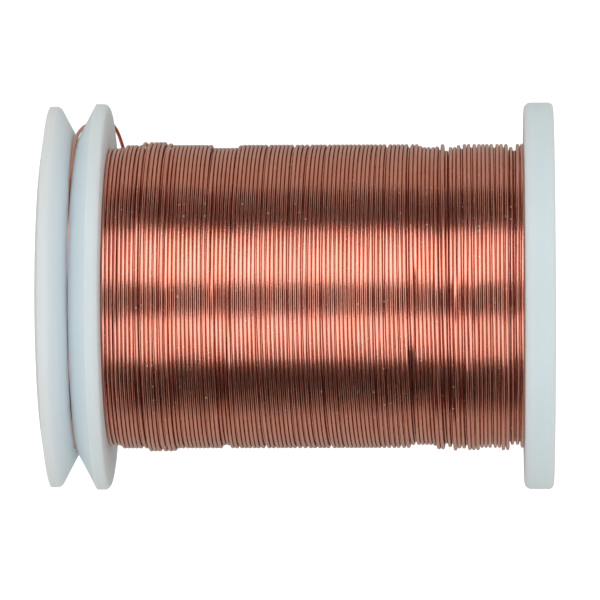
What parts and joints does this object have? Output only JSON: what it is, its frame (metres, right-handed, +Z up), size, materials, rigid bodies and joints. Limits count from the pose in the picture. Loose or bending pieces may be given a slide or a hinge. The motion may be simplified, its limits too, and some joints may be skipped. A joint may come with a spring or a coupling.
{
  "type": "wire spool",
  "caption": "Snap spool of enamelled copper wire: ribbed base flange, barrel, inner flange and a sliding snap cap whose groove pinches the wire's free end.",
  "frame": {"origin": "middle of the spindle axis, halfway between the base flange's and the snap cap's open faces", "axes": "+X along the spindle axis towards the base flange, +Z up; the spool lies on the rims of its two full flanges"},
  "size_m": [0.0656, 0.05, 0.05],
  "materials": {
    "spool_plastic": "satin natural polypropylene",
    "cap_plastic": "satin natural polypropylene",
    "enamelled_copper": "clear enamel over copper"
  },
  "bodies": {
    "spool": {"base_flange": "spool_plastic", "barrel": "spool_plastic", "inner_flange": "spool_plastic", "wire_winding": "enamelled_copper", "wire_start": "enamelled_copper", "wire_tail": "enamelled_copper"},
    "snap_cap": {"snap_cap": "cap_plastic"}
  },
  "joints": [
    {"name": "cap_slide", "type": "slide", "parent": "spool", "child": "snap_cap", "axis": [-1, 0, 0], "range_m": [0, 0.002]}
  ]
}
